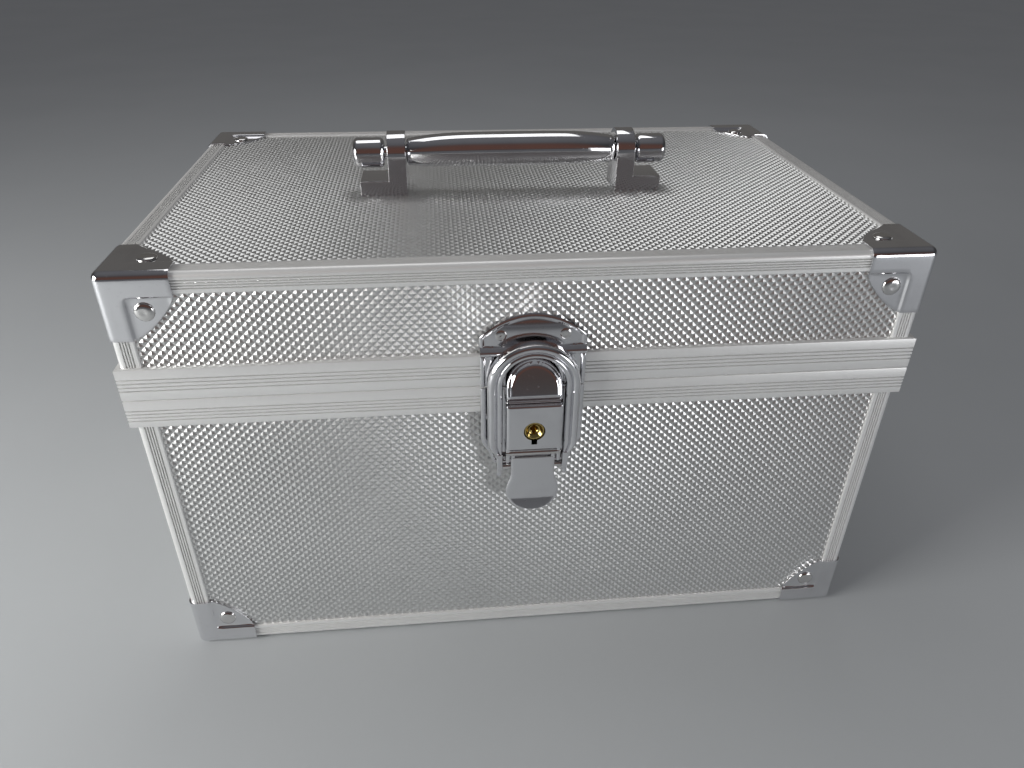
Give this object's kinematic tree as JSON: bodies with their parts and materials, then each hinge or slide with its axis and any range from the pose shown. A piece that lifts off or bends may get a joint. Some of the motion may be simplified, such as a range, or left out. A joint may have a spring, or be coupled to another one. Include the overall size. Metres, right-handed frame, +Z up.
{
  "type": "sewing box",
  "caption": "Hard-sided sewing box of embossed aluminium with a hinged lid, cantilever trays that lift with it, a keyed draw latch and a bar handle.",
  "frame": {"origin": "middle of the footprint, on the surface that the box stands on", "axes": "+X along the long side towards the right hand of someone facing the latch, +Y towards the hinges, +Z up"},
  "size_m": [0.2718, 0.1896, 0.186],
  "materials": {
    "embossed_aluminium": "diamond-embossed, semi-gloss",
    "satin_aluminium": "satin with fine ribs along the length",
    "chrome": "polished plating",
    "rivet_steel": "polished nickel plating",
    "hinge_steel": "satin nickel plating",
    "brass": "polished",
    "bottom_board": "grained black laminate",
    "lining": "black napped lining",
    "tray_plastic": "moulded, fine grain",
    "divider_plastic": "moulded, fine grain",
    "arm_aluminium": "brushed strip"
  },
  "bodies": {
    "base": {"base_front_panel": "embossed_aluminium", "base_back_panel": "embossed_aluminium", "base_left_panel": "embossed_aluminium", "base_right_panel": "embossed_aluminium", "base_bottom_panel": "bottom_board", "base_corner_posts": "satin_aluminium", "base_bottom_rails": "satin_aluminium", "base_rim": "satin_aluminium", "base_corner_caps": "chrome", "base_cap_rivets": "rivet_steel", "base_liner": "lining", "tray_brackets": "arm_aluminium", "tray_bracket_rivets": "rivet_steel", "arm_base_pins": "rivet_steel", "latch_base_plate": "chrome", "latch_plate_rivets": "rivet_steel", "lock_housing": "chrome", "lever_pin": "rivet_steel", "hinge_lower_leaves": "hinge_steel", "hinge_lower_rivets": "hinge_steel", "hinge_pins": "hinge_steel"},
    "lid": {"lid_top_panel": "embossed_aluminium", "lid_front_panel": "embossed_aluminium", "lid_back_panel": "embossed_aluminium", "lid_left_panel": "embossed_aluminium", "lid_right_panel": "embossed_aluminium", "lid_corner_posts": "satin_aluminium", "lid_top_rails": "satin_aluminium", "lid_rim": "satin_aluminium", "lid_corner_caps": "chrome", "lid_cap_rivets": "rivet_steel", "lid_liner": "lining", "lid_tray_brackets": "arm_aluminium", "lid_bracket_rivets": "rivet_steel", "lid_tray_pins": "rivet_steel", "catch_plate": "chrome", "catch_rivets": "rivet_steel", "hinge_upper_leaves": "hinge_steel", "hinge_upper_rivets": "hinge_steel", "handle_posts": "chrome", "handle_screws": "rivet_steel"},
    "handle": {"handle_grip": "chrome", "handle_knobs": "chrome"},
    "lock": {"lock_cylinder": "brass"},
    "lever": {"latch_lever": "chrome", "bail_pin": "rivet_steel"},
    "bail": {"latch_bail": "chrome"},
    "front_arms": {"front_arms": "arm_aluminium"},
    "rear_arms": {"rear_arms": "arm_aluminium"},
    "upper_tray": {"upper_tray": "tray_plastic", "upper_tray_dividers": "divider_plastic", "upper_tray_pins": "rivet_steel"},
    "lower_tray": {"lower_tray": "tray_plastic", "lower_tray_dividers": "divider_plastic", "lower_tray_pins": "rivet_steel"}
  },
  "joints": [
    {"name": "lid_hinge", "type": "hinge", "parent": "base", "child": "lid", "pos_m": [0, 0.0908, 0.12], "axis": [-1, 0, 0], "range_deg": [0, 95]},
    {"name": "handle_swing", "type": "hinge", "parent": "lid", "child": "handle", "pos_m": [0, -0.0064, 0.178], "axis": [-1, 0, 0], "range_deg": [0, 120]},
    {"name": "lock_turn", "type": "hinge", "parent": "base", "child": "lock", "pos_m": [0, -0.0962, 0.106], "axis": [0, -1, 0], "range_deg": [0, 90]},
    {"name": "lever_swing", "type": "hinge", "parent": "base", "child": "lever", "pos_m": [0, -0.094, 0.0956], "axis": [-1, 0, 0], "range_deg": [0, 105]},
    {"name": "bail_swing", "type": "hinge", "parent": "lever", "child": "bail", "pos_m": [0, -0.0915, 0.088], "axis": [-1, 0, 0], "range_deg": [-126, 0]},
    {"name": "front_arm_swing", "type": "hinge", "parent": "base", "child": "front_arms", "pos_m": [0, 0.0058, 0.11], "axis": [-1, 0, 0], "range_deg": [0, 95]},
    {"name": "rear_arm_swing", "type": "hinge", "parent": "base", "child": "rear_arms", "pos_m": [0, 0.0558, 0.11], "axis": [-1, 0, 0], "range_deg": [0, 95]},
    {"name": "upper_tray_pivot", "type": "hinge", "parent": "front_arms", "child": "upper_tray", "pos_m": [0, -0.055, 0.13], "axis": [-1, 0, 0], "range_deg": [-95, 0]},
    {"name": "lower_tray_pivot", "type": "hinge", "parent": "front_arms", "child": "lower_tray", "pos_m": [0, -0.0246, 0.12], "axis": [-1, 0, 0], "range_deg": [-95, 0]}
  ],
  "couplings": [
    {"joint": "bail_swing", "follows": "lever_swing", "ratio": -1.2},
    {"joint": "front_arm_swing", "follows": "lid_hinge", "ratio": 1},
    {"joint": "rear_arm_swing", "follows": "lid_hinge", "ratio": 1},
    {"joint": "upper_tray_pivot", "follows": "lid_hinge", "ratio": -1},
    {"joint": "lower_tray_pivot", "follows": "lid_hinge", "ratio": -1}
  ]
}
